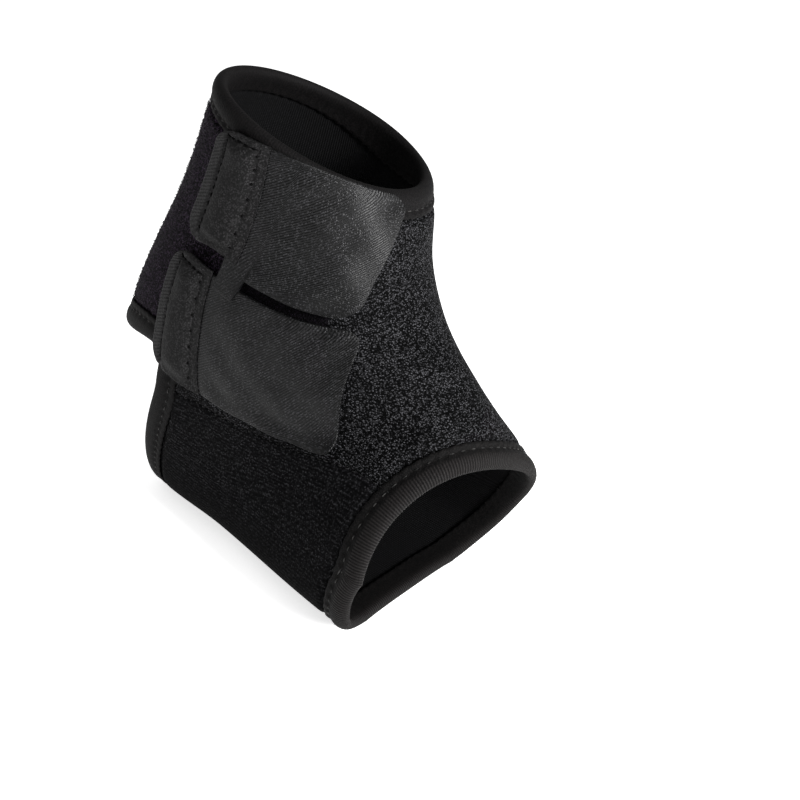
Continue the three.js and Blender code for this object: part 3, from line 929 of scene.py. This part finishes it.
STRAP_FLARE, STRAP_SWELL = 1.1 * MM, 0.34 * MM
STRAP_DROPS = {"upper": bridged_edge, "lower": straight_edge}
TAB_DROPS = {"upper": tab_edge, "lower": straight_edge}
for name, edges in STRAPS.items():
    whole = strap_length(edges)
    spots, along, across = webbing_spots(
        edges, (0, whole, whole), 0, (STRAP_ROWS, STRAP_COLUMNS), 1, STRAP_DROPS[name], TAILS[name]
    )
    inset = rounded_edge(along, across, along[0].min(), whole, STRAP_WIDTH, 0.6 * MM, 0.4 * MM)
    lift = ramp(across, 0.8 * STRAP_WIDTH, STRAP_WIDTH) * ramp(along, 0.2 * whole, 0.6 * whole)
    low = STRAP_LIFT + STRAP_FLARE * lift + webbing_swell(along, across)
    strap = sheet_object(name + "_strap_webbing", spots, low + STRAP - inset, low + 0.3 * inset)
    dressed(strap, webbing, webbing)
    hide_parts(name + "_strap")


# The pile that the straps' hooks grip is brushed from the wrap's own knit: small loops of
# fine yarn that stand up round the back of the leg and give it a soft outline.
PILE_LOOPS = 7000
PILE_RINGS, PILE_SIDES = 4, 4
PILE_SPAN, PILE_HEIGHT = (0.5 * MM, 1.3 * MM), (0.15 * MM, 0.62 * MM)
PILE_LEAN, PILE_SINK, PILE_RADIUS = 0.4 * MM, 0.12 * MM, 0.065 * MM
PILE_DOWN, PILE_TURN, PILE_SEED = (0.045, 0.43), (68, 288), 7


def pile_share(spots):
    """Where the wrap is brushed, from 0 to 1: all round the back, and under the straps as far
    as a line near their front ends and the bottom edge of the lower one."""
    down, turn = spots[..., 0], spots[..., 1] % 360
    bottom = lower_edges(np.linspace(-0.1, 1, 80))[1]
    order = np.argsort(bottom[:, 1])
    limit = np.interp(turn, bottom[order, 1], bottom[order, 0], right=2)
    from_front_end = turn - UPPER_LEAN[1] * (down - UPPER_DOWN[1])
    behind_front = ramp(from_front_end, 7, 13) * (1 - ramp(turn, 262, 292))
    return behind_front * (1 - ramp(down, limit - 0.03, limit - 0.01))


# Under the straps the mask keeps half its value, which leaves the fuzz dim there as painted shade;
# the part that lies open behind the straps keeps all of it
painted_shade_under_straps = 0.5 + 0.5 * ramp(wrap_grid[..., 1] % 360, 78, 90)
mask = np.tile((pile_share(wrap_grid) * painted_shade_under_straps).ravel(), 2)
pile_and_shade_mask = upper_wrap.data.attributes.new("pile_and_shade", "FLOAT", "POINT")
pile_and_shade_mask.data.foreach_set("value", mask.astype(np.float32))


def pile_object():
    """Small arches of yarn: half a wave over a short span, with four-sided rings round it and
    a face over each end."""
    chance = np.random.default_rng(PILE_SEED)
    turn = mix(*PILE_TURN, chance.random(PILE_LOOPS * 3))
    down = mix(*PILE_DOWN, chance.random(PILE_LOOPS * 3))
    spots = np.stack([down, turn], -1)
    points = form_point(spots)
    clear = nearest_on(points, form_point(heel_line))[0] > TAPE_WIDTH + 1.2 * MM
    clear &= nearest_on(points, form_point(rim_line))[0] > TAPE_WIDTH + 0.8 * MM
    clear &= chance.random(len(spots)) < pile_share(spots) * ramp(turn, 78, 90)
    spots, points = spots[clear][:PILE_LOOPS], points[clear][:PILE_LOOPS]
    count = len(spots)
    normals = form_normal(spots)
    aim = unit(np.cross(normals, chance.normal(size=(count, 3))))
    span = mix(*PILE_SPAN, chance.random(count))[:, None]
    height = mix(*PILE_HEIGHT, chance.random(count) ** 1.6)[:, None]
    share = np.linspace(0, 1, PILE_RINGS)[None, :, None]
    lean = aim * (chance.random(count)[:, None] * PILE_LEAN)
    lines = points[:, None] + (aim * span)[:, None] * (share - 0.5)
    arch = (normals * height + lean)[:, None] * np.sin(np.pi * share)
    lines = lines + arch - normals[:, None] * PILE_SINK
    side = np.cross(normals, aim)
    return tubes_object("pile_loops", lines, side, normals, PILE_RADIUS, PILE_SIDES)


def yarn():
    """Fine yarn whose tone goes from black to a dull purple-grey from loop to loop."""
    finish = Finish("pile_yarn", specular=0.2)
    finish.roughness(0.6)
    tone = finish.noise(1.1 * MM, 1.0).step(0.4, 0.7)
    finish.colour(finish.blend(tone, (0.0012, 0.0010, 0.0014), (0.050, 0.036, 0.057)))
    return finish.material


dressed(pile_object(), yarn())


# Each tab is a fold of softer cloth sewn over the strap's back end with a box of stitches. A
# flat ribbed strip runs along its free edge, and the rest swells into a roll up to a crease.
TAB_LENGTH = 17 * MM
TAB_MARGIN = 0.8 * MM
TAB_STRIP = 4.6 * MM
TAB_CREASE = 14.8 * MM
TAB_HEM = 2.6 * MM
TAB_LOW = STRAP_LIFT + STRAP + 0.15 * MM
TAB_FACE, TAB_BULGE, TAB_FALL = 1.25 * MM, 1.5 * MM, 1.05 * MM
TAB_ROWS, TAB_COLUMNS = 110, 84


def tab_height(along, across, width):
    """The tab's upper face over its lower one. A sine bulge lies between the stitch line and
    the crease, less near the hems, and bells press in the lines of stitches."""
    span = np.clip((along - TAB_STRIP) / (TAB_CREASE - TAB_STRIP), 0, 1)
    from_side = np.minimum(across, width - across)
    bulge = TAB_BULGE * np.sin(np.pi * span) ** 0.75 * ramp(from_side, 1.5 * MM, 7 * MM)
    pull = 0.75 + 0.25 * np.cos(2 * np.pi * across / (2.9 * MM))
    line = 0.65 * MM * bell(along, TAB_STRIP, 0.7 * MM) * pull
    crease = 0.5 * MM * bell(along, TAB_CREASE, 0.9 * MM)
    inside = ramp(along, TAB_STRIP - MM, TAB_STRIP)
    inside = inside * (1 - ramp(along, TAB_CREASE, TAB_CREASE + MM))
    hem = 0.5 * MM * bell(across, TAB_HEM, 0.6 * MM) * inside
    after = TAB_FALL * ramp(along, TAB_CREASE - 0.4 * MM, TAB_LENGTH + 0.4 * MM)
    wrinkle = 0.12 * MM * np.sin(along / (1.9 * MM) + 2 * np.sin(across / (5 * MM))) * inside
    return TAB_FACE + bulge + wrinkle - line - crease - hem - after


def tab_spots(name, whole, places, width):
    """Spots of a tab from distances along from its back edge and across from its top, moved
    as the tab's own rows are by its drop and skew."""
    along, across = places[:, 0], places[:, 1]
    along = along * (1 + SKEWS[name] * ramp(across, 0, width) / TAB_LENGTH) - TAB_MARGIN
    top, low = STRAPS[name](along / whole)
    moved = TAB_DROPS[name](along) * ramp(across, 0.8 * width, width)
    return mix(top, low, ((across - TAB_MARGIN + moved) / STRAP_WIDTH)[:, None])


def tab_points(name, whole, places, width):
    height = TAB_LOW + tab_height(places[:, 0], places[:, 1], width)
    return raised(tab_spots(name, whole, places, width), height)


def tab_stitch_middles(width):
    """Middles of the stitches, along and across the tab, and half of each one's run."""
    down = np.linspace(2.2 * MM, width - 4.5 * MM, 14)
    over = np.linspace(TAB_STRIP + 1.6 * MM, TAB_CREASE - 1.2 * MM, 4)
    spare = np.linspace(5 * MM, width - 5 * MM, 7)
    lines = [
        np.stack([np.full_like(down, TAB_STRIP), down], -1),
        np.stack([over, np.full_like(over, TAB_HEM)], -1),
        np.stack([np.full_like(spare, TAB_CREASE), spare], -1),
    ]
    runs = [(0, 0.95 * MM), (0.95 * MM, 0), (0, 0.6 * MM)]
    run = np.concatenate([np.tile(run, (len(line), 1)) for run, line in zip(runs, lines)])
    return np.concatenate(lines), run


def tab_cloth():
    """Dark grey cloth with a fine grain. Slanting ribs cover the flat strip at its edge."""
    finish = Finish("tab_cloth", specular=0.12)
    along, across = finish.cloth_place()
    away, thread_tone = finish.grains(0.45 * MM)
    fleck = (1 - away).step(0.15, 0.75) * thread_tone.step(0.25, 0.85)
    strip = 1 - along.step(TAB_STRIP - 0.5 * MM, TAB_STRIP + 0.2 * MM)
    rib = (across + along * 0.6).wave(1.2 * MM)
    tone = 0.05 + fleck * (0.8 - strip * 0.3) + strip * rib * 0.5
    finish.colour(finish.blend(tone, (0.0004, 0.0004, 0.0004), (0.0205, 0.0198, 0.0206)))
    finish.roughness(0.7 - strip * 0.1)
    finish.relief(fleck * 0.5 + strip * rib * 0.5, 0.2 * MM)
    return finish.material


tab_look = tab_cloth()
tab_thread = thread("tab_thread", 0.03, (0.0002, 0.0002, 0.0002), (0.0014, 0.0014, 0.0014))
for name, edges in STRAPS.items():
    whole = strap_length(edges)
    width = STRAP_WIDTH + 2 * TAB_MARGIN
    spots, along, across = webbing_spots(
        edges, (-TAB_MARGIN, TAB_LENGTH, whole), TAB_MARGIN, (TAB_ROWS, TAB_COLUMNS), 0,
        TAB_DROPS[name], skew=SKEWS[name],
    )
    back = along[0][None]
    inset = rounded_edge(along - back, across, 0, 1, width, 0.9 * MM, 0.75 * MM)
    longer = 1 + SKEWS[name] * ramp(across, 0, width) / TAB_LENGTH
    high = TAB_LOW + tab_height((along + TAB_MARGIN) / longer, across, width) - inset
    tab = sheet_object(name + "_tab_cloth", spots, high, np.full(high.shape, TAB_LOW))
    dressed(tab, tab_look, tab_look)
    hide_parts(name + "_tab")
    name + "_strap_webbing"

    # Stitches run down the strip's line and along the top hem and, further apart, the crease
    middles, run = tab_stitch_middles(width)
    starts = tab_points(name, whole, middles - run, width)
    ends = tab_points(name, whole, middles + run, width)
    spots = tab_spots(name, whole, middles, width)
    sewn = stitch_object(
        name + "_tab_stitches", starts, ends, form_normal(spots), radius=0.4 * MM, arch=0.2 * MM
    )
    dressed(sewn, tab_thread)


# The bright lamp stands low at the camera's right and shines across the straps and the instep.
# Two weak ones, overhead and at the left, lift the shadows. The floor is glowing pale paper.
def area_light(name, place, aim, size, power):
    """A square lamp at a place, turned so that it shines at an aim."""
    lamp = bpy.data.objects.new(name, bpy.data.lights.new(name, "AREA"))
    lamp.data.size, lamp.data.energy = size, power
    back = unit(np.subtract(place, aim))
    right = unit(np.cross([0, 0, 1], back))
    turned = Matrix(np.array([right, np.cross(back, right), back]).T.tolist()).to_4x4()
    turned.translation = place
    lamp.matrix_world = turned
    bpy.context.collection.objects.link(lamp)


area_light("key_light", (0.95, -0.04, 0.44), (0.02, -0.02, 0.08), size=0.3, power=24)
area_light("top_light", (0.1, -0.3, 0.9), (0, 0, 0.06), size=0.6, power=1.5)
area_light("fill_light", (-0.6, -0.6, 0.35), (0, 0, 0.07), size=0.6, power=0.5)

# The studio looks as white as the paper, and lights the brace more softly
world = bpy.data.worlds.new("studio")
world.use_nodes = True
LIT_STRENGTH, SEEN_STRENGTH = 0.4, 1.05
seen = Wire(world.node_tree.nodes.new("ShaderNodeLightPath").outputs["Is Camera Ray"])
glow = seen * (SEEN_STRENGTH - LIT_STRENGTH) + LIT_STRENGTH
plug(world.node_tree.nodes["Background"].inputs["Strength"], glow)
plug(world.node_tree.nodes["Background"].inputs["Color"], (1, 1, 1, 1))
bpy.context.scene.world = world
bpy.context.scene.view_settings.view_transform = "Standard"

floor_mesh = bpy.data.meshes.new("floor")
FLOOR_HALF, FLOOR_Z, PAPER_GLOW = 20.0, -0.0002, 0.68
floor_mesh.from_pydata(
    [(x, y, FLOOR_Z) for x, y in ((-1, -1), (1, -1), (1, 1), (-1, 1))], [], [(0, 1, 2, 3)]
)
floor_mesh.transform(Matrix.Diagonal((FLOOR_HALF, FLOOR_HALF, 1, 1)))
floor = bpy.data.objects.new("floor", floor_mesh)
bpy.context.collection.objects.link(floor)
paper = Finish("pale_paper", specular=0.2)
paper.roughness(0.9)
paper.colour(paper.blend(paper.noise(0.02), (0.86, 0.86, 0.86), (0.88, 0.88, 0.88)))
paper.shader.inputs["Emission Color"].default_value = (1, 1, 1, 1)
paper.shader.inputs["Emission Strength"].default_value = PAPER_GLOW
floor.data.materials.append(paper.material)
